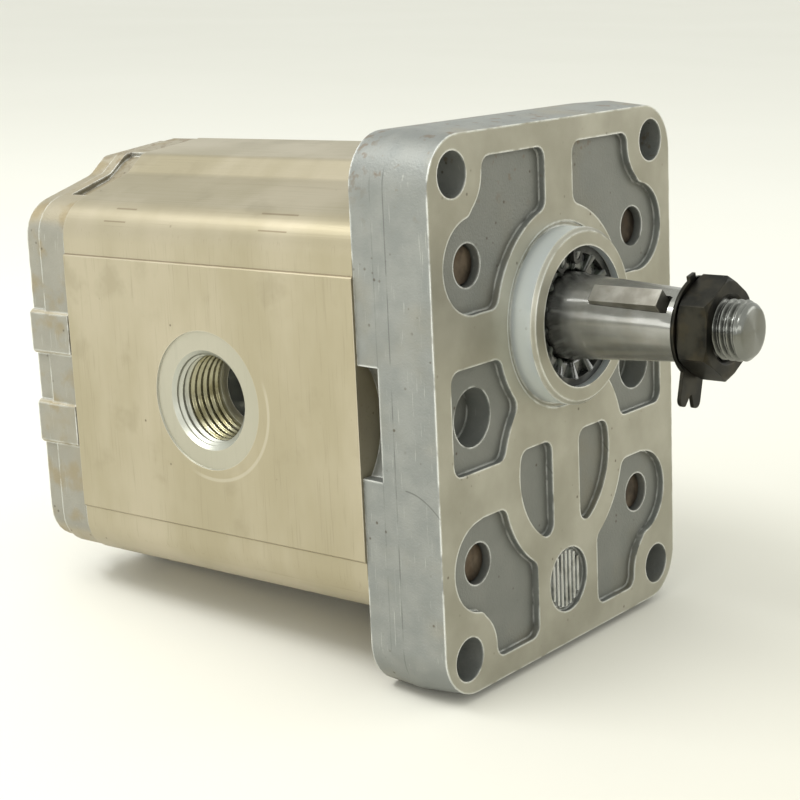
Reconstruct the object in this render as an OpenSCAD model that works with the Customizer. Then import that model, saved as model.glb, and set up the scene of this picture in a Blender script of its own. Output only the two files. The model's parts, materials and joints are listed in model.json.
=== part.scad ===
// External gear pump with a rectangular mounting flange, tapered drive shaft and side ports.
// Origin: centre of the pilot spigot on the flange mounting face.
// +X runs out along the drive shaft, +Z points from the driven gear to the drive gear.

/* [Flange] */
// Width of the mounting flange at its front face
flange_w = 87; // [85:0.5:90]
// Height of the mounting flange at its front face
flange_h = 111.3; // [110:0.1:113]
// Thickness of the mounting flange
flange_t = 18.6; // [17:0.1:20]
// Corner radius of the flange
flange_corner_r = 10; // [8:0.5:11]
// Spacing of the mounting holes across the flange
mount_y = 71.5; // [70:0.1:73]
// Spacing of the mounting holes up the flange
mount_z = 96.2; // [95:0.1:97]
// Diameter of the mounting holes
mount_d = 9; // [8.5:0.1:9.5]
// Depth of the cast pockets in the front face
pocket_t = 1.6; // [1:0.1:2]
// Draft of the cast sides, measured at the parting line
draft = 1.0; // [0.4:0.1:1.2]

/* [Pilot spigot] */
// Diameter of the pilot spigot
pilot_d = 36.5; // [36:0.1:37]
// Height of the pilot spigot above the mounting face
pilot_h = 5.4; // [5:0.1:6]
// Diameter of the shaft seal housing
seal_d = 29; // [28:0.1:30]

/* [Body] */
// Length of the extruded pump body
body_l = 83.2; // [76:0.1:90]
// Width over the two flat port faces
body_w = 89; // [88:0.5:90]
// Height of the pump body
body_h = 100.6; // [100:0.1:101]
// Height of each flat port face
port_face_h = 57; // [55:0.5:58]
// Thickness of the rear cover
cover_t = 13.3; // [12:0.1:16]
// Spacing of the tie bolts across and up the body
bolt_pitch = 60; // [59:0.5:61]

/* [Gears and shafts] */
// Distance between the drive and driven gear axes
gear_centres = 31.2; // [31:0.1:32]
// Number of teeth on each gear
gear_teeth = 12; // [12:1:12]
// Width of the gears along the shaft
gear_w = 42; // [36:0.5:46]
// Diameter of the shaft journals
journal_d = 18; // [17:0.1:18]
// Large end diameter of the shaft taper
taper_d = 17.4; // [17:0.1:17.6]
// Length of the shaft taper
taper_l = 24.6; // [23:0.1:25]
// Diameter loss per millimetre of taper length
taper_rate = 0.125; // [0.1:0.005:0.13]
// Outside diameter of the shaft end thread
thread_d = 12; // [11.8:0.1:12]
// Distance of the shaft tip from the mounting face
shaft_tip = 44; // [43:0.1:46]
// Width of the shaft key
key_w = 4; // [3.6:0.1:4]
// Angle of the key above the inlet side at rest
key_angle = 44; // [0:1:90]

/* [Ports] */
// Core diameter of the inlet port thread
inlet_d = 18.6; // [14.9:0.1:24.4]
// Core diameter of the outlet port thread
outlet_d = 18.6; // [14.9:0.1:24.4]
// Full depth of the port threads
port_l = 12; // [11:0.5:17]

/* [Hidden] */

$fn = 64;
cut = 1;                              // how far a cutter runs past the face it opens
fit = 0.03;                           // radial clearance of close fits
gap = 0.1;                            // clearance at the gear tips and gear side faces

mid_z = -gear_centres / 2;            // height of the flange and body centre
flange_back = -flange_t;
body_back = flange_back - body_l;
cover_back = body_back - cover_t;
gear_x = flange_back - body_l / 2;    // middle of the gears along the shaft
gear_front = gear_x + gear_w / 2;
gear_back = gear_x - gear_w / 2;
pocket_x = -pocket_t;                 // floor of the cast pockets

tooth_module = gear_centres / gear_teeth;
pitch_r = gear_centres / 2;
tip_r = pitch_r + 0.9 * tooth_module;
root_r = pitch_r - 1.2 * tooth_module;
pressure_angle = 20;
base_r = pitch_r * cos(pressure_angle);
backlash = 0.8;                       // degrees taken off each tooth at the pitch circle
chamber_r = tip_r + gap;
block_r = chamber_r - fit;

journal_r = journal_d / 2;
bush_r = journal_r + 1;               // outside radius of the journal bushes
bolt_r = 4;
bolt_hole_r = bolt_r + 0.3;           // clearance holes for the tie bolts
bolt_half = bolt_pitch / 2;
thread_r = thread_d / 2;
taper_start = 5.5;
taper_end = taper_start + taper_l;
thread_start = taper_end + 1;
washer_t = 0.8;
washer_x = thread_start + 0.05;
nut_x = washer_x + washer_t + 0.02;
nut_h = 6.6;
nut_flats = 18;
washer_turn = -14.5;                  // lean of the washer's forked tab
nut_turn = 27;                        // where the nut came to rest on its thread
seal_front = 2.3;                     // front face of the shaft seal
seal_l = 7;
dowel_r = 4;
dowel_l = 14;
dowel_hole_l = dowel_l / 2 + 0.2;     // depth of a dowel hole in each casing

// ---- helpers ----

// Extrudes a (y, z) outline along X from x0 to x1
module along_x(x0, x1) translate([x0, 0, 0]) rotate([90, 0, 90]) linear_extrude(x1 - x0) children();

// Round bar along X
module rod(r, x0, x1, y = 0, z = 0) translate([x0, y, z]) rotate([0, 90, 0]) cylinder(r = r, h = x1 - x0);

// Turns a list of (radius, x) points about a line along X
module turned(points, y = 0, z = 0) translate([0, y, z]) rotate([0, 90, 0]) rotate_extrude() polygon(points);

// Copies children to both sides of the centre plane
module both_sides() {
    children();
    mirror([0, 1, 0]) children();
}

// Copies children above and below the middle of the body
module above_and_below() {
    children();
    translate([0, 0, 2 * mid_z]) mirror([0, 0, 1]) children();
}

function unit(v) = v / norm(v);
function signed(a) = a > 180 ? a - 360 : a < -180 ? a + 360 : a;

// Points of an arc of radius r that rounds the corner at p between its neighbours a and b
function corner(a, p, b, r, n) =
    r == 0 ? [p] :
    let (u = unit(a - p), v = unit(b - p), half = acos(u * v) / 2,
         c = p + unit(u + v) * r / sin(half),
         s = p + u * r / tan(half) - c, e = p + v * r / tan(half) - c,
         a0 = atan2(s.y, s.x), sweep = signed(atan2(e.y, e.x) - a0))
    [for (i = [0 : n]) c + r * [cos(a0 + sweep * i / n), sin(a0 + sweep * i / n)]];

// Outline through (y, z, corner radius) points with every corner rounded
function rounded(points, n = 6) =
    let (count = len(points), flat = [for (q = points) [q.x, q.y]])
    [for (i = [0 : count - 1])
        each corner(flat[(i + count - 1) % count], flat[i], flat[(i + 1) % count], points[i].z, n)];

// Outline that encloses both gear axes at radius r
module stadium_2d(r) {
    circle(r);
    translate([0, -gear_centres]) circle(r);
    translate([-r, -gear_centres]) square([2 * r, gear_centres]);
}

// Two overlapping circles of radius r on the gear axes
module figure_eight_2d(r) {
    circle(r);
    translate([0, -gear_centres]) circle(r);
}

// Quarter outline of the extruded body, from the side face up to the top ridge
core_w = body_w - 1;                  // width of the body between its raised port faces
ridge_w = 37;                         // width of the raised ridge along the top
slope_z = 44.4;                       // height of the sloping shoulder where the ridge begins
body_quarter = [[core_w / 2, 38.6, 8.6], [23.6, slope_z, 4], [ridge_w / 2, body_h / 2 - 1.9, 3],
                [0, body_h / 2, 0]];

function mirrored(points) =
    concat(points, [for (i = [len(points) - 2 : -1 : 0]) [-points[i].x, points[i].y, points[i].z]]);
function closed(points) =
    let (upper = mirrored(points))
    concat(upper, [for (i = [len(upper) - 1 : -1 : 0]) [upper[i].x, -upper[i].y, upper[i].z]]);

module core_2d(inset = 0) translate([0, mid_z])
    scale([1 - 2 * inset / core_w, 1 - 2 * inset / body_h]) polygon(rounded(closed(body_quarter)));

// Raised port faces with a small chamfer
module port_faces_2d() translate([0, mid_z]) {
    edge = 0.4;
    polygon([for (s = [[1, 1], [-1, 1], [-1, -1], [1, -1]], p = s.x * s.y > 0 ? [0, 1] : [1, 0])
        [s.x * (body_w / 2 - p * edge), s.y * (port_face_h / 2 + p * edge)]]);
}

// Outline of the flange, grown outwards all round
function flange_outline(grow) =
    let (y = flange_w / 2 + grow, z = flange_h / 2 + grow, r = flange_corner_r + grow)
    [for (q = rounded([[y, z, r], [-y, z, r], [-y, -z, r], [y, -z, r]], 10)) q + [0, mid_z]];

// Solid that runs through matching (y, z) outlines, one at each x, lowest x first
module lofted(xs, outlines) {
    n = len(outlines[0]);
    last = len(xs) - 1;
    polyhedron(
        points = [for (i = [0 : last], q = outlines[i]) [xs[i], q.x, q.y]],
        faces = concat([[for (k = [0 : n - 1]) k]],
            [for (i = [0 : last - 1], k = [0 : n - 1]) let (next = (k + 1) % n)
                [i * n + k, (i + 1) * n + k, (i + 1) * n + next, i * n + next]],
            [[for (k = [n - 1 : -1 : 0]) last * n + k]]));
}

// ---- gears ----

// Involute angle in degrees at pressure angle a
function involute(a) = tan(a) * 180 / PI - a;
// Half angle of a tooth at radius r
function half_tooth(r) =
    90 / gear_teeth - backlash / 2 + involute(pressure_angle) - involute(acos(base_r / r));
flank_steps = 5;
flank = [for (i = [0 : flank_steps])
    let (r = base_r + (tip_r - base_r) * i / flank_steps) [r, half_tooth(r)]];
root_half = half_tooth(base_r) - 1.5; // half angle of a tooth where it meets the root circle

// Gear outline with one tooth on the line at the given angle
module gear_2d(angle) polygon([for (t = [0 : gear_teeth - 1])
    let (a = angle + t * 360 / gear_teeth,
         side = concat([[root_r, root_half]], flank),
         last = len(side) - 1)
    each concat([for (i = [0 : last]) side[i][0] * [cos(a - side[i][1]), sin(a - side[i][1])]],
                [for (i = [last : -1 : 0]) side[i][0] * [cos(a + side[i][1]), sin(a + side[i][1])]])]);

// ---- casings ----

corner_web_r = 9.4;                   // wall of face left round each mounting hole
spigot_web_r = 23.1;                  // face left round the spigot
lower_web_r = 22.4;                   // face left round the crescent pockets
bolt_pocket_r = 9.5;                  // reach of the pocket round each tie bolt
centre_rib = 5;                       // half width of the rib up the middle of the face
pocket_top = 35;
pocket_round = 2.5;
lower_pocket_y = 11.3;                // inner edge of the lower pockets
lower_pocket_z = mid_z - mount_z / 2 - 2.7;
lower_pocket_h = 30.5;
middle_pocket_y = 14;
middle_pocket_w = 24.5;
middle_pocket_h = 21;
crescent_r = 16.7;
crescent_z = -46.5;
crescent_h = 21;

// Rounds every inner and outer corner of an outline
module soften_2d() {
    $fn = 0;
    $fa = 4;
    $fs = 1;
    offset(r = pocket_round) offset(r = -2 * pocket_round) offset(r = pocket_round) children();
}

// Cast pocket of an upper corner: wraps the tie bolt, clear of the spigot and the mounting hole
module upper_pocket_2d() soften_2d() difference() {
    union() {
        translate([bolt_half, mid_z + bolt_half]) circle(bolt_pocket_r);
        translate([centre_rib, centre_rib]) square([bolt_half - centre_rib, pocket_top - centre_rib]);
        translate([bolt_half - bolt_r, centre_rib]) square([bolt_r, 2 * bolt_r]);
    }
    circle(spigot_web_r);
    translate([mount_y / 2, mid_z + mount_z / 2]) circle(corner_web_r);
}

module lower_pocket_2d() soften_2d() difference() {
    union() {
        translate([bolt_half, mid_z - bolt_half]) circle(bolt_pocket_r);
        translate([lower_pocket_y, lower_pocket_z]) square([bolt_half - lower_pocket_y, lower_pocket_h]);
    }
    translate([0, -gear_centres]) circle(lower_web_r);
    translate([mount_y / 2, mid_z - mount_z / 2]) circle(corner_web_r);
}

module middle_pocket_2d() soften_2d() difference() {
    translate([middle_pocket_y, mid_z - middle_pocket_h / 2]) square([middle_pocket_w, middle_pocket_h]);
    circle(spigot_web_r - 0.4);
    translate([0, -gear_centres]) circle(lower_web_r);
}

module crescent_2d() soften_2d() intersection() {
    translate([0, -gear_centres]) circle(crescent_r);
    translate([centre_rib, crescent_z]) square([crescent_r, crescent_h]);
}

part_x = -9.8;                        // parting line of the flange casting
bolt_end_x = -3.2;                    // where the tie bolts end, inside the flange
bolt_mouth_x = -5;                    // bottom of the wider mouth of each tapped hole
blind_r = 5.95;
blind_x = -7.4;                       // floor of the blind holes
notch_x = 5.4;                        // depth of the side notches, from the back of the flange
notch_h = 22.8;
notch_r = 19;                         // radius of the hollow floor of each notch
notch_y = 37.5;                       // deepest point of that floor
cavity_r = 7;
cavity_x = -1.2;                      // floor of the round cavity low on the face
cavity_z = mid_z - 41.6;
undercut = 0.3;                       // depth of the groove round the spigot's root
chamfer = 0.8;
ring_groove_t = 1.3;
ring_groove_r = seal_d / 2 + 0.8;

module flange_plate()
    lofted([flange_back, part_x, 0], [flange_outline(0.4 * draft), flange_outline(draft), flange_outline(0)]);

module spigot() {
    r = pilot_d / 2;
    turned([[0, -1], [r, -1], [r, pilot_h - chamfer], [r - chamfer, pilot_h], [0, pilot_h]]);
}

module front_flange() color("silver") difference() {
    union() {
        flange_plate();
        spigot();
    }
    turned([[pilot_d / 2, -undercut], [pilot_d / 2 + 1, -undercut],
            [pilot_d / 2 + 1, cut], [pilot_d / 2, cut]]);
    rod(seal_d / 2, seal_front - seal_l - 0.1, pilot_h + cut);
    rod(ring_groove_r, seal_front + 0.1, seal_front + 0.1 + ring_groove_t);
    rod(journal_r + 1.5, flange_back - cut, 0);
    for (y = [-1, 1], z = [-1, 1]) {
        rod(mount_d / 2, flange_back - cut, cut, y * mount_y / 2, mid_z + z * mount_z / 2);
        rod(bolt_r + fit, flange_back - cut, bolt_mouth_x + cut, y * bolt_half, mid_z + z * bolt_half);
        rod(bolt_hole_r, bolt_mouth_x, cut, y * bolt_half, mid_z + z * bolt_half);
    }
    both_sides() {
        along_x(pocket_x, cut) {
            upper_pocket_2d();
            middle_pocket_2d();
            lower_pocket_2d();
            crescent_2d();
        }
        rod(blind_r, blind_x, cut, bolt_half, mid_z);
        rod(dowel_r + fit, flange_back - cut, flange_back + dowel_hole_l, bolt_half, mid_z);
        intersection() {
            translate([flange_back - cut, notch_y - 1, mid_z - notch_h / 2])
                cube([notch_x + cut, 20, notch_h]);
            rod(notch_r, flange_back - 2 * cut, flange_back + notch_x, notch_y + notch_r, mid_z);
        }
    }
    rod(cavity_r, cavity_x, cut, 0, cavity_z);
}

// Threaded port of core radius r, cut into the port face on the given side
module port_cut(side, r) translate([gear_x, side * body_w / 2, mid_z]) rotate([90 * side, 0, 0]) {
    spot_r = r + 5.6;                 // spot face for the washer of the fitting
    spot_t = 0.4;
    mouth = 1.5;                      // size of the chamfer where the thread starts
    throat = 0.78;                    // the passage to the gears, as a share of the thread's core
    translate([0, 0, -cut]) cylinder(r = spot_r, h = spot_t + cut);
    translate([0, 0, spot_t]) cylinder(r1 = r + mouth, r2 = r, h = mouth);
    cylinder(r = r, h = spot_t + mouth + port_l);
    cylinder(r = r * throat, h = body_w / 2 - 4);
}

module pump_body() color("wheat") difference() {
    along_x(body_back, flange_back) {
        core_2d();
        port_faces_2d();
    }
    along_x(body_back - cut, flange_back + cut) figure_eight_2d(chamber_r);
    port_cut(-1, inlet_d / 2);
    port_cut(1, outlet_d / 2);
    for (y = [-1, 1], z = [-1, 1])
        rod(bolt_hole_r, body_back - cut, flange_back + cut, y * bolt_half, mid_z + z * bolt_half);
    for (y = [-1, 1], x = [flange_back, body_back])
        rod(dowel_r + fit, x - dowel_hole_l, x + dowel_hole_l, y * bolt_half, mid_z);
    along_x(flange_back - seal_groove_t, flange_back + cut) seal_track_2d(0);
    along_x(body_back - cut, body_back + seal_groove_t) seal_track_2d(0);
}

module cover_plate() {
    part_t = 8.6;                     // distance of the parting line from the body
    along_x(body_back - part_t, body_back) core_2d(0.2);
    along_x(cover_back, body_back - part_t) core_2d(0.9);
}

washer_recess = 1.6;                  // depth of the tie bolt washer seats
washer_recess_r = 8.6;
boss_t = 3.4;                         // height of the boss behind the gear shafts
boss_r = 13.5;
pad_z = 5.4;                          // side pads of the cover, measured from the body's middle
pad_h = 10.1;
pad_y = 44.3;
rear_pocket_t = 2;

// Raised pad on the side of the cover
module side_pad_2d() translate([0, mid_z])
    polygon([[30, pad_z], [pad_y - 0.7, pad_z], [pad_y, pad_z + 0.7],
             [pad_y, pad_z + pad_h - 0.7], [pad_y - 0.7, pad_z + pad_h], [30, pad_z + pad_h]]);

// Sloping slot in the top of the cover, next to the body
module top_slot_2d() translate([0, mid_z])
    polygon([[36, 41.5], [34.8, 39.7], [24.6, 42.7], [19.2, 46.4], [16.5, 47.4], [16.5, 60], [36, 60]]);

// Weight-saving pocket in the back of the cover
module rear_pocket_2d() soften_2d() difference() {
    translate([14, mid_z + 4]) square([25, 36]);
    stadium_2d(boss_r + 3.5);
    translate([bolt_half, mid_z + bolt_half]) circle(washer_recess_r + 2.4);
    translate([30, mid_z + 14.2]) square([20, 4]);
}

module rear_cover() color("lightslategray") difference() {
    union() {
        cover_plate();
        both_sides() above_and_below() along_x(cover_back, body_back - 0.6) side_pad_2d();
        along_x(cover_back - boss_t, cover_back + cut) stadium_2d(boss_r);
    }
    for (y = [-1, 1], z = [-1, 1]) {
        rod(bolt_hole_r, cover_back - 5, body_back + cut, y * bolt_half, mid_z + z * bolt_half);
        rod(washer_recess_r, cover_back - 5, cover_back + washer_recess,
            y * bolt_half, mid_z + z * bolt_half);
    }
    both_sides() above_and_below() {
        rod(dowel_r + fit, body_back - dowel_hole_l, body_back + cut, bolt_half, mid_z);
        along_x(body_back - 5.6, body_back + cut) top_slot_2d();
        along_x(cover_back - cut, cover_back + rear_pocket_t) rear_pocket_2d();
    }
}

// ---- bearing blocks, bushes and seals ----

seal_groove_t = 1.9;
seal_track_r = 22;
module seal_track_2d(slack) difference() {
    stadium_2d(seal_track_r + 2.6 - slack);
    stadium_2d(seal_track_r + slack);
}

// Track shaped like a 3 that seals the pressure side of a bearing block. Its arcs stop end_y past the
// gear axes, where a bridge of width bridge_w joins them
module three_2d(r0, r1, end_y, bridge_w) {
    bridge_half = pitch_r - r1 + 1;
    for (z = [0, -gear_centres]) translate([0, z]) intersection() {
        difference() {
            circle(r1);
            circle(r0);
        }
        translate([-end_y, -r1]) square([2 * r1, 2 * r1]);
    }
    translate([-end_y, mid_z - bridge_half]) square([bridge_w, 2 * bridge_half]);
}

// Inner radius, outer radius, end_y and bridge_w of each track: the backup ring's bridge
// lies beyond the end of the pressure seal's
pressure_track = [12.9, 15, 3, 3];
backup_track = [11.6, 12.8, 4.4, 1.2];
track_t = 1.8;

module track_2d(track, slack = 0)
    three_2d(track[0] - slack, track[1] + slack, track[2] + slack, track[3] + 2 * slack);

// Bearing block between x0 and x1, with its seal tracks in the face at track_x
module bearing_block(x0, x1, track_x) difference() {
    along_x(x0, x1) figure_eight_2d(block_r);
    for (z = [0, -gear_centres]) rod(bush_r + 0.01, x0 - cut, x1 + cut, 0, z);
    along_x(track_x - track_t, track_x + track_t) {
        track_2d(pressure_track, fit);
        track_2d(backup_track, fit);
    }
}

front_block_x = flange_back - 0.05;
rear_block_x = body_back + 0.05;
front_bush_x = [gear_front + gap + 0.4, front_block_x - 0.4];
rear_bush_x = [rear_block_x + 0.4, gear_back - gap - 0.4];

module front_bearing_block() color("gainsboro")
    bearing_block(gear_front + gap, front_block_x, front_block_x);
module rear_bearing_block() color("gainsboro")
    bearing_block(rear_block_x, gear_back - gap, rear_block_x);

// Journal bush over the span x, at height z
module bush(x, z) difference() {
    rod(bush_r, x[0], x[1], 0, z);
    rod(journal_r + fit, x[0] - cut, x[1] + cut, 0, z);
}

module drive_front_bush() color("peru") bush(front_bush_x, 0);
module drive_rear_bush() color("peru") bush(rear_bush_x, 0);
module driven_front_bush() color("peru") bush(front_bush_x, -gear_centres);
module driven_rear_bush() color("peru") bush(rear_bush_x, -gear_centres);

module front_body_seal() color("dimgray")
    along_x(flange_back - seal_groove_t + 0.05, flange_back) seal_track_2d(0.05);
module rear_body_seal() color("dimgray")
    along_x(body_back, body_back + seal_groove_t - 0.05) seal_track_2d(0.05);

// Seal in a track of the front or the rear bearing block
module front_track(track) along_x(front_block_x - track_t + 0.05, front_block_x) track_2d(track);
module rear_track(track) along_x(rear_block_x, rear_block_x + track_t - 0.05) track_2d(track);

module front_pressure_seal() color("dimgray") front_track(pressure_track);
module rear_pressure_seal() color("dimgray") rear_track(pressure_track);
module front_backup_ring() color("ivory") front_track(backup_track);
module rear_backup_ring() color("ivory") rear_track(backup_track);

seal_back = seal_front - seal_l;
spring_r = 0.7;
spring_x = seal_back + 2;
spring_ring_r = journal_r + 2.2;

module shaft_seal_case() color("gray") {
    outer = seal_d / 2 - fit;
    wall = seal_d / 2 - 1.2;
    inner = journal_r + 3;
    turned([[outer, seal_back], [outer, seal_front - 0.8], [inner, seal_front - 0.8],
            [inner, seal_front - 1.8], [wall, seal_front - 1.8], [wall, seal_back]]);
}

// Groove or wire of the garter spring, of wire radius r
module spring_ring(r) translate([spring_x, 0, 0]) rotate([0, 90, 0])
    rotate_extrude() translate([spring_ring_r, 0]) circle(r);

module shaft_seal_lip() color("black") difference() {
    outer = seal_d / 2 - fit;
    stem = journal_r + 2.95;
    turned([[outer, seal_front - 0.75], [outer, seal_front], [journal_r + 1, seal_front],
            [journal_r + 0.3, seal_front - 0.6], [journal_r + 0.8, seal_front - 2],
            [journal_r + 0.05, spring_x], [journal_r + 1.2, spring_x - 1.6],
            [journal_r + 3, spring_x - 1.6], [journal_r + 3, spring_x + 0.8],
            [journal_r + 2, spring_x + 1.4], [journal_r + 2, seal_front - 1.85],
            [stem, seal_front - 1.85], [stem, seal_front - 0.75]]);
    spring_ring(spring_r + fit);
}

module seal_garter_spring() color("silver") spring_ring(spring_r);

ring_in = seal_d / 2 - 1.6;
ring_gap = 100;                       // where the retaining ring is open, measured from +Y

// A circle on each of the retaining ring's two lugs
module at_lugs() for (s = [-1, 1]) rotate(ring_gap + s * 14) translate([ring_in - 0.6, 0]) children();

module seal_retaining_ring() color("darkslategray")
    along_x(seal_front + 0.15, seal_front + 1.35) difference() {
        union() {
            circle(seal_d / 2 + 0.7);
            at_lugs() circle(1.7);
        }
        difference() {
            circle(ring_in);
            at_lugs() circle(1.7);
        }
        at_lugs() circle(0.8);
        polygon([[0, 0], for (s = [-1, 1]) 20 * [cos(ring_gap + s * 7), sin(ring_gap + s * 7)]]);
    }

// ---- fasteners ----

module dowel_pins() color("lightgray") for (y = [-1, 1], x = [flange_back, body_back])
    rod(dowel_r, x - dowel_l / 2, x + dowel_l / 2, y * bolt_half, mid_z);

washer_seat = cover_back + washer_recess;
bolt_washer_t = 1.6;
bolt_washer_r = 8;
bolt_head_t = 5.3;
bolt_head_flats = 13;
bolt_seat = washer_seat - bolt_washer_t;
module tie_bolts() color("dimgray") for (y = [-1, 1], z = [-1, 1]) {
    rod(bolt_r, bolt_seat, bolt_end_x, y * bolt_half, mid_z + z * bolt_half);
    translate([bolt_seat - bolt_head_t, y * bolt_half, mid_z + z * bolt_half]) rotate([0, 90, 0])
        cylinder(d = bolt_head_flats / cos(30), h = bolt_head_t, $fn = 6);
}

module tie_bolt_washers() color("silver") for (y = [-1, 1], z = [-1, 1]) difference() {
    rod(bolt_washer_r, bolt_seat, washer_seat, y * bolt_half, mid_z + z * bolt_half);
    rod(bolt_r + 0.25, bolt_seat - cut, washer_seat + cut, y * bolt_half, mid_z + z * bolt_half);
}

// ---- shafts ----

key_start = 11.4;
key_l = 15.6;
key_top_r = 9.3;
key_depth = 4;
// Places children with their own +Y pointing out of the keyway
module at_key() rotate([180 - key_angle, 0, 0]) children();

function taper_r(x) = (taper_d - (x - taper_start) * taper_rate) / 2;

module drive_gear_shaft() color("lightsteelblue") difference() {
    union() {
        turned([[0, rear_block_x + 0.5], [journal_r - 0.8, rear_block_x + 0.5],
                [journal_r, rear_block_x + 1.3], [journal_r, taper_start - 1],
                [taper_r(taper_start), taper_start], [taper_r(taper_end), taper_end],
                [thread_r - 0.8, taper_end], [thread_r - 0.8, thread_start - 0.2],
                [thread_r, thread_start], [thread_r, shaft_tip - 1.4],
                [thread_r - 1.3, shaft_tip], [0, shaft_tip]]);
        along_x(gear_back, gear_front) gear_2d(270);
    }
    at_key() translate([key_start - 0.1, key_top_r - key_depth - 0.02, -key_w / 2 - 0.02])
        cube([key_l + 1.4, 10, key_w + 0.04]);
}

module shaft_key() color("gray") at_key()
    translate([key_start, key_top_r - key_depth, -key_w / 2]) cube([key_l, key_depth, key_w]);

nut_front = nut_x + nut_h;
nut_r = nut_flats / 2;
module shaft_nut() color("dimgray") difference() {
    intersection() {
        translate([nut_x, 0, 0]) rotate([90, 0, 90]) rotate(nut_turn)
            cylinder(d = nut_flats / cos(30), h = nut_h, $fn = 6);
        turned([[0, nut_x], [nut_r + 0.2, nut_x], [nut_r + 2, nut_x + 1],
                [nut_r + 2, nut_front - 1], [nut_r + 0.2, nut_front], [0, nut_front]]);
    }
    rod(thread_r + 0.02, nut_x - cut, nut_front + cut);
    turned([[0, nut_front - 0.8], [thread_r, nut_front - 0.8],
            [thread_r + 1.1, nut_front + 0.1], [0, nut_front + 0.1]]);
}

module tab_washer() color("dimgray") along_x(washer_x, washer_x + washer_t) rotate(washer_turn) difference() {
    union() {
        circle(10);
        polygon(rounded([[-4, -6, 0], [-4, -15.9, 1.5], [-1.6, -15.9, 0.7], [0, -13, 0.4], [1.6, -15.9, 0.7],
                         [4, -15.9, 1.5], [4, -6, 0]]));
        rotate(27) translate([-1.2, 6]) square([2.4, 4.9]);
    }
    circle(thread_r + 0.02);
}

module driven_gear_shaft() color("lightsteelblue") {
    turned([[0, rear_block_x + 0.5], [journal_r - 0.8, rear_block_x + 0.5], [journal_r, rear_block_x + 1.3],
            [journal_r, front_block_x - 1.3], [journal_r - 0.8, front_block_x - 0.5],
            [0, front_block_x - 0.5]], 0, -gear_centres);
    along_x(gear_back, gear_front) translate([0, -gear_centres]) gear_2d(90 + 180 / gear_teeth);
}

front_flange();
pump_body();
rear_cover();
front_bearing_block();
rear_bearing_block();
drive_front_bush();
drive_rear_bush();
driven_front_bush();
driven_rear_bush();
front_body_seal();
rear_body_seal();
front_pressure_seal();
rear_pressure_seal();
front_backup_ring();
rear_backup_ring();
shaft_seal_case();
shaft_seal_lip();
seal_garter_spring();
seal_retaining_ring();
dowel_pins();
tie_bolts();
tie_bolt_washers();
drive_gear_shaft();
shaft_key();
shaft_nut();
tab_washer();
driven_gear_shaft();
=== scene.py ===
import json
import math

import bmesh
import bpy
from mathutils import Matrix, Vector

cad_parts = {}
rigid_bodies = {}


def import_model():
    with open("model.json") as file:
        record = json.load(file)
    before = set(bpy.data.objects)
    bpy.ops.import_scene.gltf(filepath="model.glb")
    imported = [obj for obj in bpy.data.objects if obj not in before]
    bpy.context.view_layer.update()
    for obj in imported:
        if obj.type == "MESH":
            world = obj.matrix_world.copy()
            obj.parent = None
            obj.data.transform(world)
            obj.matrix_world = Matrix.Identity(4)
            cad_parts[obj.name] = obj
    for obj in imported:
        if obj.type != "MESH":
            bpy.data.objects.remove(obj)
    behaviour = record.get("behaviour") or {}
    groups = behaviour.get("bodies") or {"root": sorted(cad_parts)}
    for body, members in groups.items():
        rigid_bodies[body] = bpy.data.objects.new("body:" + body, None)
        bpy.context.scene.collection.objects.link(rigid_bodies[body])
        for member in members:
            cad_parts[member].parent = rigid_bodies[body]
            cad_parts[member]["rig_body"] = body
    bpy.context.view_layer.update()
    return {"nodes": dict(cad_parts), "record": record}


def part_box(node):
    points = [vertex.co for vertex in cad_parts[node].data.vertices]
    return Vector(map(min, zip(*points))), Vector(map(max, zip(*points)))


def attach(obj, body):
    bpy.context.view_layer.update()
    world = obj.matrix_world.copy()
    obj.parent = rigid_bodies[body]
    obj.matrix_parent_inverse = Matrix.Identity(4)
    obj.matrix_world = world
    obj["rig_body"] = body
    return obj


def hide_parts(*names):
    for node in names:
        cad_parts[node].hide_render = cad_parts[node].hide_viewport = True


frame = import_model()

MM = 0.001
MOUNTS = {m["name"]: m for m in frame["record"]["mounts"]}
SLOT_OF = {part["node"]: part["material_slot"] for part in frame["record"]["subparts"]}
FLANGE_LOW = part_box("front_flange")[0]
BODY_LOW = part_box("pump_body")[0]
COVER_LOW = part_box("rear_cover")[0]
SHAFT_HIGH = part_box("drive_gear_shaft")[1]
SEAL_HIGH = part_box("shaft_seal_lip")[1]
PILOT_R = MOUNTS["pilot_spigot"]["dims"]["r_mm"] * MM
PORT_X, _, PORT_Z = MOUNTS["inlet_port"]["pos_m"]
PORT_FACE = -BODY_LOW.y         # how far a raised port face stands from the middle
PORT_FACE_HALF = 28.5 * MM      # half the height of that face
SPOT_FACE_R = 14.9 * MM         # the flat ring round each port


# ---- materials ----

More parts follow.
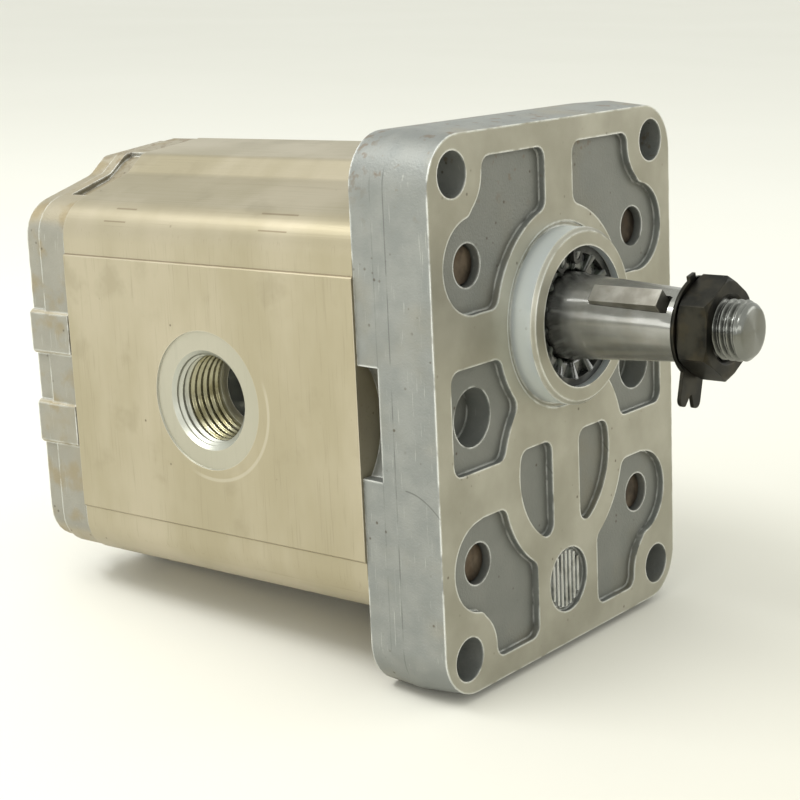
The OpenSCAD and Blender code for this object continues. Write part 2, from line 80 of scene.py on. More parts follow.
class Surface:
    """Builds one procedural material, in the frame's own coordinates."""

    def __init__(self, name, metallic, roughness):
        self.material = bpy.data.materials.new(name)
        self.material.use_nodes = True
        self.tree = self.material.node_tree
        self.tree.nodes.clear()
        self.shader = self.add("ShaderNodeBsdfPrincipled")
        self.shader.inputs["Metallic"].default_value = metallic
        self.shader.inputs["Roughness"].default_value = roughness
        output = self.add("ShaderNodeOutputMaterial")
        self.link(self.shader.outputs["BSDF"], output.inputs["Surface"])
        coordinates = self.add("ShaderNodeTexCoord")
        self.place = coordinates.outputs["Object"]
        self.x, self.y, self.z = self.split(self.place)
        self.nx, self.ny, self.nz = self.split(coordinates.outputs["Normal"])
        self.bumped = None

    def add(self, kind, **settings):
        """Adds a node with these settings."""
        node = self.tree.nodes.new(kind)
        for key, value in settings.items():
            setattr(node, key, value)
        return node

    def link(self, source, target):
        self.tree.links.new(source, target)

    def feed(self, socket, value):
        """Links a socket, or sets a number or colour, as the input."""
        if isinstance(value, bpy.types.NodeSocket):
            self.link(value, socket)
        else:
            socket.default_value = value

    def split(self, vector):
        node = self.add("ShaderNodeSeparateXYZ")
        self.link(vector, node.inputs[0])
        return node.outputs[0], node.outputs[1], node.outputs[2]

    def math(self, operation, a, b=0.0):
        """The result of a maths operation on two numbers."""
        node = self.add("ShaderNodeMath", operation=operation)
        self.feed(node.inputs[0], a)
        self.feed(node.inputs[1], b)
        return node.outputs[0]

    def times(self, a, b):
        return self.math("MULTIPLY", a, b)

    def step(self, value, low, high):
        """0 below low, 1 above high, smooth between. low may be above high."""
        node = self.add("ShaderNodeMapRange", interpolation_type="SMOOTHSTEP")
        self.feed(node.inputs["Value"], value)
        flipped = low > high
        node.inputs["From Min"].default_value = high if flipped else low
        node.inputs["From Max"].default_value = low if flipped else high
        node.inputs["To Min"].default_value = 1.0 if flipped else 0.0
        node.inputs["To Max"].default_value = 0.0 if flipped else 1.0
        return node.outputs["Result"]

    def noise(self, size, detail=3.0, stretch=(1, 1, 1), shift=0.0):
        """Noise with features about size metres across, drawn out along each axis by stretch."""
        mapping = self.add("ShaderNodeMapping")
        self.link(self.place, mapping.inputs["Vector"])
        mapping.inputs["Location"].default_value = (shift, shift, shift)
        mapping.inputs["Scale"].default_value = [1 / (size * s) for s in stretch]
        node = self.add("ShaderNodeTexNoise")
        self.link(mapping.outputs[0], node.inputs["Vector"])
        node.inputs["Scale"].default_value = 1.0
        node.inputs["Detail"].default_value = detail
        return node.outputs["Fac"]

    def cells(self, size):
        """Distance to scattered points about size metres apart."""
        node = self.add("ShaderNodeTexVoronoi")
        self.link(self.place, node.inputs["Vector"])
        node.inputs["Scale"].default_value = 1 / size
        return node.outputs["Distance"]

    def mix(self, factor, a, b):
        """Colour a where factor is 0, b where it is 1."""
        node = self.add("ShaderNodeMix", data_type="RGBA")
        self.feed(node.inputs["Factor"], factor)
        self.feed(node.inputs[6], a)
        self.feed(node.inputs[7], b)
        return node.outputs[2]

    def paint(self, under, where, share, colour):
        """Lays the colour over another, to the given share, where where is 1."""
        return self.mix(self.times(where, share), under, colour)

    def between(self, factor, a, b):
        """Number a where factor is 0, b where it is 1."""
        node = self.add("ShaderNodeMix", data_type="FLOAT")
        self.feed(node.inputs[0], factor)
        self.feed(node.inputs[2], a)
        self.feed(node.inputs[3], b)
        return node.outputs[0]

    def shade_in_hollows(self, distance):
        """1 in corners and crevices, 0 on open faces, from ambient occlusion; used to place painted shade."""
        node = self.add("ShaderNodeAmbientOcclusion", samples=6)
        node.inputs["Distance"].default_value = distance
        return self.step(node.outputs["AO"], 0.85, 0.25)

    def edge(self, radius):
        """1 along sharp edges."""
        bevel = self.add("ShaderNodeBevel", samples=4)
        bevel.inputs["Radius"].default_value = radius
        geometry = self.add("ShaderNodeNewGeometry")
        dot = self.add("ShaderNodeVectorMath", operation="DOT_PRODUCT")
        self.link(bevel.outputs[0], dot.inputs[0])
        self.link(geometry.outputs["Normal"], dot.inputs[1])
        return self.step(dot.outputs["Value"], 0.995, 0.9)

    def bump(self, height, depth):
        """Adds relief of the given depth in metres."""
        node = self.add("ShaderNodeBump")
        node.inputs["Distance"].default_value = depth
        self.link(height, node.inputs["Height"])
        if self.bumped is not None:
            self.link(self.bumped, node.inputs["Normal"])
        self.bumped = node.outputs[0]

    def done(self, colour, roughness):
        """Feeds the shader and gives the finished material."""
        self.feed(self.shader.inputs["Base Color"], colour)
        self.feed(self.shader.inputs["Roughness"], roughness)
        if self.bumped is not None:
            self.link(self.bumped, self.shader.inputs["Normal"])
        return self.material


def rgb(r, g, b):
    """Linear colour from 8-bit screen values."""
    values = [c / 255 for c in (r, g, b)]
    return tuple(c / 12.92 if c <= 10 / 255 else ((c + 0.055) / 1.055) ** 2.4 for c in values) + (1.0,)


def near(s, a, b, radius, soft):
    """1 within radius of an axis. a and b are (coordinate, place of the axis)."""
    da, db = s.math("SUBTRACT", *a), s.math("SUBTRACT", *b)
    distance = s.math("SQRT", s.math("ADD", s.times(da, da), s.times(db, db)))
    return s.step(distance, radius + soft, radius)


def band(s, value, low, high, soft):
    """1 where value lies between low and high."""
    return s.times(s.step(value, low - soft, low), s.step(value, high + soft, high))


# ---- the flange's and the cover's cast metal ----

SKIN = (-0.9 * MM, -0.4 * MM)             # x over which the cast skin gives way to turned metal
PARTING_LINES = ((-9.85 * MM, 0.6), (-13.2 * MM, 0.3))     # x and strength
SCAR_START = (-7.8 * MM, -27.9 * MM)      # x and z of a scar in the flange's side
SCAR_SLOPE, SCAR_CURVE = 0.077, 0.07      # its drop in mm, per mm and per mm squared along X
SCAR_HALF = (0.08, 0.22)                  # in mm, where it is dark and where it ends


def turned_areas(s):
    """1 on the flange's turned face and spigot, and 1 on the spigot's side alone, which takes a painted
    highlight.
    """
    on_front = s.step(s.x, *SKIN)
    on_face = s.times(on_front, s.step(s.nx, 0.35, 0.75))
    on_spigot = s.times(near(s, (s.y, 0.0), (s.z, 0.0), PILOT_R + 1.2 * MM, 0.1 * MM), on_front)
    return s.math("MAXIMUM", on_face, on_spigot), s.times(on_spigot, s.step(s.nx, 0.75, 0.4))


def cast_skin(s, mottle, on_side):
    """Grey skin with warm clouds, a yellower oil-stained cover and painted shade on the floors of the front's
    recesses.
    """
    colour = s.mix(s.step(mottle, 0.3, 0.72), rgb(134, 137, 134), rgb(146, 148, 144))
    cloud = s.step(s.noise(20 * MM, 3, shift=3.1), 0.5, 0.75)
    colour = s.paint(colour, cloud, 0.35, rgb(158, 142, 104))
    at_rear = s.step(s.x, BODY_LOW.x + 2 * MM, BODY_LOW.x)
    colour = s.paint(colour, at_rear, s.between(on_side, 0.6, 0.25), rgb(178, 165, 136))
    oil = s.times(at_rear, s.step(s.noise(7 * MM, 4, shift=11.0), 0.5, 0.66))
    colour = s.paint(colour, oil, 0.5, rgb(146, 129, 90))
    # painted shade: the floors of the front's recesses painted darker
    recess_shade = s.times(s.step(s.nx, 0.5, 0.9), s.step(s.x, SKIN[0], SKIN[0] - 0.4 * MM))
    return s.paint(colour, recess_shade, 0.55, rgb(112, 112, 104))


def cast_wear(s, colour):
    """Dark specks, painted shade in the corners, edges painted near white as wear and as a painted highlight,
    and upright scratches on the sides.
    """
    specks = s.times(s.step(s.cells(2.6 * MM), 0.16, 0.07), s.step(s.noise(8 * MM, 2, shift=5.0), 0.5, 0.62))
    colour = s.paint(colour, specks, 0.7, rgb(74, 60, 44))
    # painted shade: darker in corners and crevices, from ambient occlusion
    colour = s.paint(colour, s.shade_in_hollows(3.5 * MM), 0.5, rgb(62, 60, 52))
    # edges painted near white: partly wear, partly a painted highlight
    edge_wear_and_highlight = s.times(s.edge(0.7 * MM), s.step(s.noise(4 * MM, 3, shift=2.2), 0.3, 0.55))
    colour = s.paint(colour, edge_wear_and_highlight, 0.9, rgb(240, 242, 238))
    scratch = s.step(s.noise(0.35 * MM, 3, stretch=(1, 1, 22), shift=9.3), 0.64, 0.72)
    scratch = s.times(scratch, s.step(s.math("ABSOLUTE", s.ny), 0.9, 0.98))
    return s.paint(colour, scratch, 0.35, rgb(196, 198, 190))


def parting_lines(s, colour, on_side):
    """Faint broken lines on the flange's -Y and +Y sides, where its mould closed."""
    broken = s.times(on_side, s.step(s.noise(6 * MM, 3, shift=4.4), 0.35, 0.55))
    for place, strength in PARTING_LINES:
        line = s.times(band(s, s.x, place, place + 0.1 * MM, 0.15 * MM), broken)
        colour = s.paint(colour, line, strength, rgb(88, 90, 88))
    return colour


def scar(s, colour):
    """A curved scar in the flange's -Y side."""
    start_x, start_z = SCAR_START
    along = s.math("DIVIDE", s.math("SUBTRACT", s.x, start_x), MM)
    drop = s.math("ADD", s.times(along, SCAR_SLOPE), s.times(s.times(along, along), SCAR_CURVE))
    off = s.math("SUBTRACT", s.math("DIVIDE", s.math("SUBTRACT", start_z, s.z), MM), drop)
    dark, end = SCAR_HALF
    line = s.times(s.step(s.math("ABSOLUTE", off), end, dark), s.step(along, 0.0, 0.4))
    return s.paint(colour, s.times(line, s.step(s.ny, -0.9, -0.97)), 0.6, rgb(84, 86, 82))


def rust(s, turned):
    """1 in rust patches near the castings' tops, with more of them from the flange's rear edge back."""
    patches = s.times(s.step(s.z, 20 * MM, 34 * MM), s.step(s.noise(3 * MM, 5, shift=6.1), 0.6, 0.68))
    at_edge = s.times(s.step(s.x, -12 * MM, -17 * MM), s.step(s.noise(1.6 * MM, 4, shift=3.3), 0.5, 0.6))
    at_edge = s.times(at_edge, s.step(s.z, 24 * MM, 36 * MM))
    return s.times(s.math("MAXIMUM", patches, at_edge), s.between(turned, 0.45, 0.0))


def cast_metal(name):
    """Die-cast aluminium with a turned front face and spigot."""
    s = Surface(name, 0.6, 0.5)
    mottle = s.noise(5 * MM, 6)
    on_side = s.step(s.math("ABSOLUTE", s.ny), 0.85, 0.97)
    turned, spigot_highlight = turned_areas(s)
    clouds = s.step(s.noise(16 * MM, 4, shift=1.7), 0.3, 0.75)
    milled = s.mix(clouds, rgb(148, 145, 130), rgb(172, 169, 155))
    colour = s.mix(turned, cast_skin(s, mottle, on_side), milled)
    # painted highlight: the spigot's side painted near white
    colour = s.paint(colour, spigot_highlight, 0.95, rgb(238, 246, 250))
    colour = cast_wear(s, colour)
    colour = parting_lines(s, colour, on_side)
    colour = scar(s, colour)
    colour = s.mix(rust(s, turned), colour, rgb(110, 84, 52))
    s.bump(s.times(s.noise(0.45 * MM, 4), s.between(turned, 1.0, 0.12)), 0.09 * MM)
    s.bump(s.times(mottle, s.between(turned, 1.0, 0.0)), 0.05 * MM)
    lay = s.noise(0.16 * MM, 2, stretch=(1, 26, 1))
    s.bump(s.times(lay, turned), 0.012 * MM)
    return s.done(colour, s.between(turned, s.between(mottle, 0.48, 0.60), s.between(lay, 0.30, 0.42)))


# ---- the body's extruded metal ----

SCRIBE_MARKS = ((-89.3 * MM, -82.8 * MM, 20.8 * MM), (-87.3 * MM, -81.3 * MM, 23.3 * MM),
                (-43.8 * MM, -36.3 * MM, 20.8 * MM), (-45.2 * MM, -35.5 * MM, 23.8 * MM))     # x from, to, z
PRINT_R = (15.9 * MM, 16.6 * MM)          # inner and outer radius of the print of a washer
PRINT_OFFSET = (1.2 * MM, -0.6 * MM)      # x and z of its centre from the port's
THREAD_DEPTH = (3.3 * MM, 5.3 * MM)       # below the port face, where the darker olive thread colour, oil and painted reflection, begins
BORE_DEPTH = (13.0 * MM, 14.5 * MM)       # where the clean bore begins
WET_DEPTH = (3.5 * MM, 4.5 * MM)          # where the gloss of the oil begins


def below_face(s, out, depths):
    """1 deeper in a port than the second depth, 0 above the first."""
    return s.step(out, PORT_FACE - depths[0], PORT_FACE - depths[1])


def scribe_marks(s, colour):
    """Short scribed lines on the shoulder above the -Y port."""
    for start, end, height in SCRIBE_MARKS:
        mark = s.times(band(s, s.x, start, end, 0.2 * MM),
                       band(s, s.z, height, height + 0.15 * MM, 0.12 * MM))
        colour = s.paint(colour, s.times(mark, s.step(s.ny, -0.2, -0.4)), 0.5, rgb(108, 92, 66))
    return colour


def washer_print(s):
    """1 along the arc that a washer rubbed round a port, towards the front and the bottom."""
    centre = ((s.x, PORT_X + PRINT_OFFSET[0]), (s.z, PORT_Z + PRINT_OFFSET[1]))
    inner, outer = [near(s, *centre, r, 0.3 * MM) for r in PRINT_R]
    middle = PORT_X - PORT_Z
    low_front = s.step(s.math("SUBTRACT", s.x, s.z), middle + 9 * MM, middle + 16 * MM)
    return s.times(s.math("SUBTRACT", outer, inner), low_front)


def port_colour(s, out):
    """Bright metal at the mouth, darker olive threads below it, partly oil and partly a painted reflection,
    and a clean bore behind them.
    """
    clouds = s.step(s.noise(4 * MM, 3, shift=2.9), 0.35, 0.65)
    oil_and_reflection = s.mix(clouds, rgb(132, 126, 94), rgb(168, 164, 138))
    colour = s.mix(below_face(s, out, THREAD_DEPTH), rgb(186, 187, 177), oil_and_reflection)
    return s.mix(below_face(s, out, BORE_DEPTH), colour, rgb(196, 198, 192))


def crease_shade(s, rise, at_crease):
    """Painted shade: a fine dark line along the port face's upper edge, and a fainter one along its lower
    edge.
    """
    start = PORT_FACE_HALF + 0.3 * MM
    line = s.times(band(s, s.math("ABSOLUTE", rise), start, start + 0.1 * MM, 0.14 * MM), at_crease)
    return s.times(line, s.between(s.step(rise, -1 * MM, 1 * MM), 0.3, 0.65))


def extruded_metal(name):
    """Drawn aluminium: lines along X on the shoulders, milled port faces with an upright lay."""
    s = Surface(name, 0.78, 0.4)
    out = s.math("ABSOLUTE", s.y)
    rise = s.math("SUBTRACT", s.z, PORT_Z)
    on_port_face = s.step(s.math("ABSOLUTE", s.ny), 0.9, 0.98)
    at_port = ((s.x, PORT_X), (s.z, PORT_Z))
    in_port = s.times(near(s, *at_port, SPOT_FACE_R + 0.05 * MM, 0.05 * MM),
                      s.step(s.math("ABSOLUTE", s.ny), 0.9, 0.8))
    on_ring = s.times(near(s, *at_port, SPOT_FACE_R, 0.05 * MM), on_port_face)
    drawn = s.noise(0.5 * MM, 3, stretch=(60, 1, 1))
    upright = s.noise(0.4 * MM, 4, stretch=(1, 1, 30), shift=0.7)
    lines = s.between(on_port_face, drawn, upright)
    cloud = s.noise(20 * MM, 4, stretch=(1, 1, 2.2), shift=4.0)
    colour = s.mix(s.step(cloud, 0.35, 0.68), rgb(166, 157, 132), rgb(180, 171, 149))
    colour = s.paint(colour, s.step(lines, 0.58, 0.72), 0.25, rgb(140, 131, 110))
    colour = s.paint(colour, s.step(s.noise(11 * MM, 4, shift=7.7), 0.58, 0.72), 0.35, rgb(146, 137, 113))
    specks = s.times(s.step(s.cells(5 * MM), 0.07, 0.035), s.step(s.noise(16 * MM, 2), 0.5, 0.6))
    colour = s.paint(colour, specks, 0.7, rgb(84, 76, 60))
    colour = scribe_marks(s, colour)
    colour = s.paint(colour, s.times(washer_print(s), on_port_face), 0.35, rgb(206, 200, 184))
    # painted shade in corners and crevices, weaker inside the ports
    crevice_shade = s.times(s.shade_in_hollows(3 * MM), s.math("SUBTRACT", 0.45, s.times(in_port, 0.4)))
    colour = s.mix(crevice_shade, colour, rgb(86, 80, 64))
    colour = s.paint(colour, on_ring, 0.6, rgb(176, 176, 164))
    colour = s.mix(in_port, colour, port_colour(s, out))
    near_crease = s.step(s.math("ABSOLUTE", rise), PORT_FACE_HALF - 4.5 * MM, PORT_FACE_HALF - 1.5 * MM)
    at_crease = s.times(near_crease, s.step(out, PORT_FACE - 1.5 * MM, PORT_FACE - 0.8 * MM))
    # edges painted lighter: partly wear, partly a painted highlight; left off along the port face's upper and
    # lower edges
    colour = s.paint(colour, s.edge(0.4 * MM), s.between(at_crease, 0.3, 0.0), rgb(226, 222, 208))
    # painted shade: a dark line along the port face's upper and lower edges
    colour = s.mix(crease_shade(s, rise, at_crease), colour, rgb(92, 76, 52))
    s.bump(lines, 0.016 * MM)
    s.bump(cloud, 0.05 * MM)
    wet = s.times(in_port, below_face(s, out, WET_DEPTH))
    return s.done(colour, s.between(wet, s.between(lines, 0.34, 0.48), 0.2))


# ---- the other materials ----

def plain_metal(name, light, dark, roughness, lay=(1, 1, 1), stain=None, stained=0.3,
                relief=0.01 * MM, dull_from=None, ground=False):
    """Machined metal with a lay, a cloudy tone, painted shade in its corners and lighter, rubbed edges.

    stain is the colour of patches, stained their share. Beyond x = dull_from it is duller. A ground
    surface spreads its highlights round the X axis.
    """
    s = Surface(name, 0.92, roughness)
    cloud = s.noise(5 * MM, 4, shift=1.3)
    lines = s.noise(0.22 * MM, 3, stretch=lay)
    colour = s.mix(s.step(cloud, 0.35, 0.68), dark, light)
    if stain is not None:
        patches = s.step(s.noise(3.2 * MM, 5, shift=8.1), 0.5, 0.68)
        colour = s.paint(colour, patches, stained, stain)
    if dull_from is not None:
        colour = s.paint(colour, s.step(s.x, dull_from, dull_from + 0.5 * MM), 0.8, rgb(120, 122, 118))
    # painted shade: darker in corners and crevices, from ambient occlusion
    colour = s.paint(colour, s.shade_in_hollows(1.5 * MM), 0.5, rgb(36, 34, 30))
    colour = s.paint(colour, s.edge(0.3 * MM), 0.45, light)
    if ground:
        tangent = s.add("ShaderNodeTangent", direction_type="RADIAL", axis="X")
        s.link(tangent.outputs[0], s.shader.inputs["Tangent"])
        s.shader.inputs["Anisotropic"].default_value = 0.95
        s.shader.inputs["Anisotropic Rotation"].default_value = 0.25
    s.bump(lines, relief)
    rough = s.math("ADD", s.between(lines, roughness - 0.05, roughness + 0.07), s.times(cloud, 0.06))
    return s.done(colour, rough)


def oily_rubber(name):
    """Black rubber under a film of oil."""
    s = Surface(name, 0.0, 0.22)
    cloud = s.noise(1.6 * MM, 4)
    colour = s.mix(s.step(cloud, 0.4, 0.65), rgb(26, 28, 26), rgb(70, 75, 68))
    s.bump(s.noise(0.5 * MM, 3, shift=2.0), 0.05 * MM)
    s.bump(cloud, 0.12 * MM)
    s.shader.inputs["Coat Weight"].default_value = 1.0
    s.shader.inputs["Coat Roughness"].default_value = 0.08
    return s.done(colour, s.between(cloud, 0.16, 0.42))


def moulded_plastic(name):
    """Off-white moulded plastic."""
    s = Surface(name, 0.0, 0.5)
    cloud = s.noise(3 * MM, 3)
    s.bump(s.noise(0.3 * MM, 2), 0.01 * MM)
    return s.done(s.mix(cloud, rgb(214, 206, 184), rgb(232, 226, 208)), s.between(cloud, 0.42, 0.58))


LENGTHWISE = (40, 1, 1)
ROUND_THE_SHAFT = (1, 30, 30)
PLAIN_METALS = {
    "bearing_alloy": dict(light=rgb(196, 196, 192), dark=rgb(168, 168, 164), roughness=0.36,
                          lay=ROUND_THE_SHAFT),
    "bush_bronze": dict(light=rgb(196, 154, 98), dark=rgb(158, 118, 70), roughness=0.42,
                        lay=ROUND_THE_SHAFT),
    "seal_steel": dict(light=rgb(150, 150, 148), dark=rgb(112, 112, 110), roughness=0.35),
    "spring_steel": dict(light=rgb(92, 92, 90), dark=rgb(52, 52, 50), roughness=0.4),
    "dowel_steel": dict(light=rgb(190, 190, 188), dark=rgb(160, 160, 158), roughness=0.22, lay=LENGTHWISE),
    "bolt_steel": dict(light=rgb(104, 92, 78), dark=rgb(56, 48, 40), roughness=0.3, stain=rgb(84, 64, 46)),
    "washer_steel": dict(light=rgb(196, 196, 190), dark=rgb(158, 158, 150), roughness=0.32),
    "shaft_steel": dict(light=rgb(164, 164, 160), dark=rgb(148, 148, 143), roughness=0.2,
                        lay=ROUND_THE_SHAFT, stain=rgb(140, 130, 110), stained=0.12,
                        relief=0.006 * MM, dull_from=34 * MM, ground=True),
    "key_steel": dict(light=rgb(158, 156, 148), dark=rgb(124, 121, 112), roughness=0.42, lay=LENGTHWISE),
    "black_oxide_steel": dict(light=rgb(56, 54, 47), dark=rgb(30, 30, 27), roughness=0.34,
                              stain=rgb(70, 62, 44)),
}
MATERIALS = {name: plain_metal(name, **look) for name, look in PLAIN_METALS.items()}
MATERIALS["cast_aluminium"] = cast_metal("cast_aluminium")
MATERIALS["extruded_aluminium"] = extruded_metal("extruded_aluminium")
MATERIALS["seal_rubber"] = oily_rubber("seal_rubber")
MATERIALS["backup_plastic"] = moulded_plastic("backup_plastic")


# ---- pieces ----

def solid_mesh(node):
    """The CAD node's mesh with its seams closed and its flat faces whole."""
    mesh = bmesh.new()
    mesh.from_mesh(frame["nodes"][node].data)
    bmesh.ops.remove_doubles(mesh, verts=mesh.verts, dist=1e-6)
    bmesh.ops.dissolve_limit(mesh, angle_limit=math.radians(0.4), verts=mesh.verts, edges=mesh.edges,
                             delimit={"NORMAL"})
    return mesh


def piece_from(mesh, name, node):
    """A shown piece that stands for the CAD node and has its material."""
    data = bpy.data.meshes.new(name)
    mesh.to_mesh(data)
    mesh.free()
    piece = bpy.data.objects.new(name, data)
    bpy.context.scene.collection.objects.link(piece)
    data.materials.append(MATERIALS[SLOT_OF[node]])
    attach(piece, frame["nodes"][node]["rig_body"])
    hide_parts(node)
    return piece


EDGE_WIDTH = {"front_flange": 0.45 * MM, "rear_cover": 0.5 * MM, "shaft_nut": 0.25 * MM,
              "tab_washer": 0.12 * MM, "shaft_key": 0.15 * MM, "tie_bolts": 0.3 * MM}


def round_edges(piece, width, angle):
    """Rounds every edge sharper than angle in degrees."""
    bevel = piece.modifiers.new("rounded_edges", "BEVEL")
    bevel.width = width
    bevel.segments = 2
    bevel.limit_method = "ANGLE"
    bevel.angle_limit = math.radians(angle)


def shade(piece):
    """Shades the faces smoothly, with the large flat ones kept flat."""
    for polygon in piece.data.polygons:
        polygon.use_smooth = True
    normals = piece.modifiers.new("even_shading", "WEIGHTED_NORMAL")
    normals.keep_sharp = True
    normals.weight = 90


def soften(piece, width, angle=32):
    """Rounds the edges sharper than angle in degrees, and shades the piece."""
    round_edges(piece, width, angle)
    shade(piece)


def thread_share(turns):
    """0 at a thread's crest, 1 at its root, for a place given in turns."""
    crest_flat, root_flat = 1 / 8, 1 / 4
    across = abs(2 * (turns % 1.0) - 1)
    return min(max((across - crest_flat) / (1 - crest_flat - root_flat), 0.0), 1.0)


def tube_of_rings(mesh, rings, place=Matrix.Identity(4)):
    """Closed solid through rings of (x, radii), with its axis along X before it is placed."""
    loops = []
    for x, radii in rings:
        count = len(radii)
        loop = []
        for k, r in enumerate(radii):
            a = 2 * math.pi * k / count
            loop.append(mesh.verts.new(place @ Vector((x, r * math.cos(a), r * math.sin(a)))))
        loops.append(loop)
    for before, after in zip(loops, loops[1:]):
        for k in range(len(before)):
            n = (k + 1) % len(before)
            mesh.faces.new((before[k], before[n], after[n], after[k]))
    mesh.faces.new(loops[0][::-1])
    mesh.faces.new(loops[-1])


def thread_rings(x0, x1, crest, root, pitch, run_out, count=72, limit=None):
    """Rings of a thread that fades out over run_out at both ends. limit(x) caps the radius."""
    steps_per_pitch = 12
    steps = max(2, round((x1 - x0) / pitch * steps_per_pitch))
    rings = []
    for i in range(steps + 1):
        x = x0 + (x1 - x0) * i / steps
        fade = min(1.0, (x - x0) / run_out, (x1 - x) / run_out)
        radii = []
        for k in range(count):
            r = crest + (root - crest) * thread_share((x - x0) / pitch - k / count) * fade
            radii.append(min(r, limit(x)) if limit else r)
        rings.append((x, radii))
    return rings


def threaded_shaft():
    """The drive shaft with a real M12 x 1.5 thread and a slightly domed tip."""
    pitch, crest, root, length = 1.5 * MM, 6.0 * MM, 5.15 * MM, 12.9 * MM
    chamfer_length, chamfer_depth, domed = 1.4 * MM, 1.3 * MM, 0.3 * MM
    overlap, run_out = 0.6 * MM, 1.2 * MM
    tip = SHAFT_HIGH.x
    start = tip - length
    mesh = solid_mesh("drive_gear_shaft")
    cut = bmesh.ops.bisect_plane(mesh, geom=mesh.verts[:] + mesh.edges[:] + mesh.faces[:], dist=1e-7,
                                 plane_co=(start, 0, 0), plane_no=(1, 0, 0), clear_outer=True)
    rim = [g for g in cut["geom_cut"] if isinstance(g, bmesh.types.BMEdge)]
    bmesh.ops.contextual_create(mesh, geom=rim)

    def cone(x):
        """Radius left by the chamfer."""
        return crest - max(0.0, x - (tip - chamfer_length)) * chamfer_depth / chamfer_length

    rings = thread_rings(start - overlap, tip - domed, crest, root, pitch, run_out, limit=cone)
    last = rings[-1][1]
    for rise, inset in ((0.5, 0.86), (0.85, 0.55), (1.0, 0.2)):
        rings.append((tip - domed * (1 - rise), [r * inset for r in last]))
    tube_of_rings(mesh, rings)
    bmesh.ops.recalc_face_normals(mesh, faces=mesh.faces)
    piece = piece_from(mesh, "threaded_drive_shaft", "drive_gear_shaft")
    soften(piece, 0.12 * MM, 40)


def cut_with(piece, mesh, name):
    """Takes the solid in mesh out of the piece."""
    data = bpy.data.meshes.new(name)
    bmesh.ops.recalc_face_normals(mesh, faces=mesh.faces)
    mesh.to_mesh(data)
    mesh.free()
    cutter = bpy.data.objects.new(name, data)
    bpy.context.scene.collection.objects.link(cutter)
    modifier = piece.modifiers.new(name, "BOOLEAN")
    modifier.operation = "DIFFERENCE"
    modifier.solver = "EXACT"
    modifier.object = cutter
    graph = bpy.context.evaluated_depsgraph_get()
    shaped = bpy.data.meshes.new_from_object(piece.evaluated_get(graph))
    piece.modifiers.clear()
    piece.data = shaped
    bpy.data.objects.remove(cutter)


def threaded_body():
    """The pump body with real pipe threads in both ports."""
    piece = piece_from(solid_mesh("pump_body"), "threaded_body", "pump_body")
    round_edges(piece, 0.15 * MM, 40)
    pitch, major, mouth, run_out = 1.814 * MM, 9.95 * MM, 1.5 * MM, 0.7 * MM
    end_gap, clear = 0.6 * MM, 0.05 * MM      # to the port's inner end, and to the wall of its core
    for name, side in (("inlet_port", -1), ("outlet_port", 1)):
        mount = MOUNTS[name]
        core = mount["dims"]["r_mm"] * MM
        length = mount["dims"]["length_mm"] * MM
        place = Matrix.Translation(mount["pos_m"]) @ Matrix.Rotation(side * math.pi / 2, 4, "Z")
        rings = thread_rings(end_gap - length / 2, length / 2 + mouth, core - clear, major, pitch, run_out,
                             count=120)
        mesh = bmesh.new()
        tube_of_rings(mesh, rings, place)
        cut_with(piece, mesh, name + "_thread")
    piece.data.set_sharp_from_angle(angle=math.radians(50))
    shade(piece)


SIX_SIDES = ((0, 1, 3, 2), (4, 6, 7, 5), (0, 4, 5, 1), (2, 3, 7, 6), (0, 2, 6, 4), (1, 5, 7, 3))


def add_six_sided(mesh, corners):
    """Adds a closed solid. Its eight corners are low or high along three directions: 000, 001, 010 to 111."""
    verts = [mesh.verts.new(corner) for corner in corners]
    for side in SIX_SIDES:
        mesh.faces.new([verts[k] for k in side])


def ribbed_seal():
    """The shaft seal's rubber, with moulded ribs between its rim and its lip."""
    ribs, first_turn, taper = 14, 0.35, 0.6
    foot = SEAL_HIGH.x - 0.5 * MM
    ends = ((9.4 * MM, 0.7 * MM, 0.5 * MM), (13.3 * MM, 1.5 * MM, 1.7 * MM))     # radius, half width, height
    mesh = solid_mesh("shaft_seal_lip")
    for k in range(ribs):
        turn = Matrix.Rotation(2 * math.pi * (k + first_turn) / ribs, 4, "X")
        corners = []
        for r, half, height in ends:
            for side in (-half, half):
                corners.append(turn @ Vector((foot, r, side)))
                corners.append(turn @ Vector((SEAL_HIGH.x + height, r, side * taper)))
        add_six_sided(mesh, corners)
    bmesh.ops.recalc_face_normals(mesh, faces=mesh.faces)
    piece = piece_from(mesh, "ribbed_shaft_seal", "shaft_seal_lip")
    soften(piece, 0.4 * MM)


def ribbed_flange():
    """The flange, with plain upright ribs cast into the floor of its round cavity."""
    cavity_z, floor_x = -57.2 * MM, -1.2 * MM
    reach, spacing, half = 6.2 * MM, 1.5 * MM, 0.35 * MM
    height, sunk = 0.55 * MM, 0.1 * MM
    mesh = solid_mesh("front_flange")
    for k in range(-3, 4):
        y = k * spacing
        z = math.sqrt(reach ** 2 - (abs(y) + half) ** 2)
        add_six_sided(mesh, [(a, b, c) for a in (floor_x - sunk, floor_x + height)
                             for b in (y - half, y + half) for c in (cavity_z - z, cavity_z + z)])
    piece = piece_from(mesh, "ribbed_flange", "front_flange")
    soften(piece, EDGE_WIDTH["front_flange"])


def finished_piece(node):
    """The CAD node with its edges rounded."""
    piece = piece_from(solid_mesh(node), node + "_finished", node)
    soften(piece, EDGE_WIDTH.get(node, 0.1 * MM))


threaded_shaft()
threaded_body()
ribbed_flange()
ribbed_seal()
for node_name in sorted(frame["nodes"]):
    if not frame["nodes"][node_name].hide_render:
        finished_piece(node_name)


# ---- floor, light and camera ----

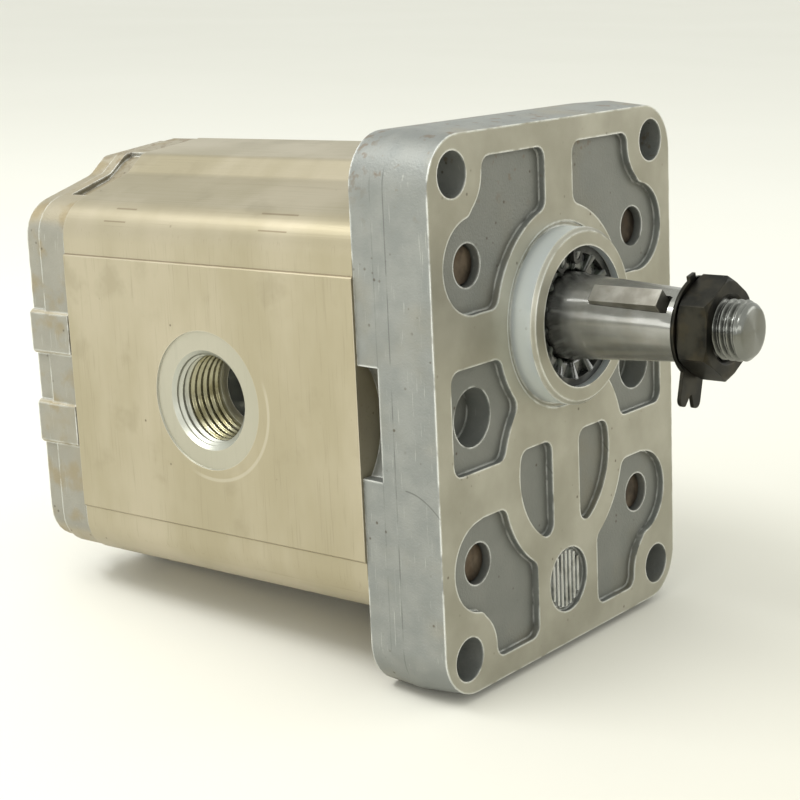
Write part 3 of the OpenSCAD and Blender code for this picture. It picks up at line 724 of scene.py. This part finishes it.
def floor():
    """Pale floor under the two edges that the pump rests on, painted darker towards +X as painted shade."""
    front = Vector((-9.8 * MM, 0, FLANGE_LOW.z))
    back = Vector((COVER_LOW.x + 8 * MM, 0, COVER_LOW.z))
    gap, size = 0.05 * MM, 40.0
    along = (front - back).normalized()
    up = along.cross(Vector((0, 1, 0))).normalized()
    if up.z < 0:
        up = -up
    across = up.cross(along)
    centre = (front + back) / 2 - up * gap
    mesh = bmesh.new()
    corners = [centre + along * (a * size) + across * (b * size)
               for a, b in ((-1, -1), (1, -1), (1, 1), (-1, 1))]
    mesh.faces.new([mesh.verts.new(c) for c in corners])
    data = bpy.data.meshes.new("floor")
    mesh.to_mesh(data)
    mesh.free()
    plane = bpy.data.objects.new("floor", data)
    bpy.context.scene.collection.objects.link(plane)
    s = Surface("floor", 0.0, 0.6)
    cloud = s.noise(0.25, 3)
    pale = s.mix(cloud, rgb(235, 234, 226), rgb(240, 239, 232))
    warm = s.mix(cloud, rgb(196, 191, 174), rgb(201, 196, 180))
    # painted shade: the floor is painted darker from -X to +X, standing in for light falling off
    data.materials.append(s.done(s.mix(s.step(s.x, -0.2, 0.4), pale, warm), 0.6))
    s.shader.inputs["Specular IOR Level"].default_value = 0.25


def bearing(azimuth, elevation):
    """Unit vector at these angles in degrees, where azimuth 0 is -Y and 90 is +X."""
    a, e = math.radians(azimuth), math.radians(elevation)
    return Vector((math.sin(a) * math.cos(e), -math.cos(a) * math.cos(e), math.sin(e)))


def area_light(name, azimuth, elevation, distance, width, height, power, colour):
    """Area light on the given bearing from the pump's middle, and facing it."""
    centre = Vector((-40 * MM, 0, -10 * MM))
    back = bearing(azimuth, elevation)
    data = bpy.data.lights.new(name, "AREA")
    data.shape = "RECTANGLE"
    data.size, data.size_y = width, height
    data.energy = power
    data.color = colour
    lamp = bpy.data.objects.new(name, data)
    bpy.context.scene.collection.objects.link(lamp)
    lamp.location = centre + back * distance
    lamp.rotation_mode = "QUATERNION"
    lamp.rotation_quaternion = (-back).to_track_quat("-Z", "Y")


def studio():
    """Soft light from five panels and an even grey surrounding."""
    area_light("key", -14, 58, 1.15, 0.9, 0.9, 3.6, (1.0, 0.99, 0.94))
    area_light("strip", -30, 54, 1.0, 0.8, 0.04, 4.0, (0.98, 0.99, 1.0))
    area_light("low_fill", -12, 12, 1.2, 1.0, 0.3, 1.8, (1.0, 1.0, 0.98))
    area_light("front_fill", 50, 14, 1.3, 0.8, 0.26, 1.4, (1.0, 0.99, 0.95))
    area_light("right_sheen", 140, 11, 1.2, 0.5, 0.34, 1.4, (1.0, 0.99, 0.95))
    world = bpy.data.worlds.new("studio")
    world.use_nodes = True
    background = world.node_tree.nodes["Background"]
    background.inputs["Color"].default_value = (0.84, 0.85, 0.80, 1)
    background.inputs["Strength"].default_value = 1.08
    bpy.context.scene.world = world
    bpy.context.scene.view_settings.view_transform = "Standard"


def camera():
    """The photograph's view: its place, bearing, tilt and lens."""
    data = bpy.data.cameras.new("camera")
    data.sensor_width = 36
    data.lens = 80.66
    data.clip_start, data.clip_end = 0.01, 50
    lens = bpy.data.objects.new("camera", data)
    bpy.context.scene.collection.objects.link(lens)
    back = bearing(39.241, 12.791)
    tilt = Matrix.Rotation(math.radians(-2.648), 3, back)
    lens.rotation_mode = "QUATERNION"
    lens.rotation_quaternion = (tilt @ (-back).to_track_quat("-Z", "Y").to_matrix()).to_quaternion()
    lens.location = Vector((203.44, -303.11, 66.04)) * MM
    bpy.context.scene.camera = lens


floor()
studio()
camera()
